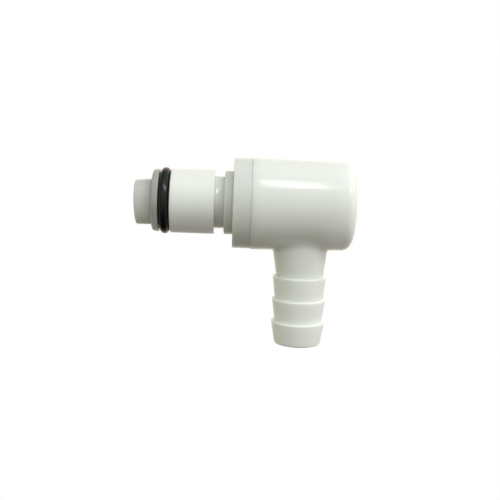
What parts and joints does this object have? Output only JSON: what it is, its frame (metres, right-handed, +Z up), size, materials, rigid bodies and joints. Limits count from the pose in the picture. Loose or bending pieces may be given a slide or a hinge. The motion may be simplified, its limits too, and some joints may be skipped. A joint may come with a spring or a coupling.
{
  "type": "quick-disconnect elbow insert",
  "caption": "Right-angle fluid coupling insert: latch-grooved stem with O-ring and sprung valve nose, closed elbow body, and a ridged barb for soft hose.",
  "frame": {"origin": "on the stem axis, at the front face of the collar", "axes": "-X along the stem to the valve nose, +X to the closed end of the elbow, -Z down the hose barb, +Z up"},
  "size_m": [0.0382, 0.0162, 0.033],
  "materials": {
    "acetal": "milky white moulded acetal, satin to glossy",
    "nitrile": "black nitrile with a light film of grease",
    "stainless": "drawn stainless spring wire"
  },
  "bodies": {
    "housing": {"stem": "acetal", "elbow_body": "acetal", "coupling_o_ring": "nitrile", "return_spring": "stainless", "spring_retainer": "acetal"},
    "poppet": {"poppet_nose": "acetal", "seal_carrier": "acetal", "valve_o_ring": "nitrile"}
  },
  "joints": [
    {"name": "poppet_slide", "type": "slide", "parent": "housing", "child": "poppet", "axis": [1, 0, 0], "range_m": [0, 0.0007], "stiffness_N_per_m": 600, "springref_m": -0.004, "deforming": ["return_spring"]}
  ]
}
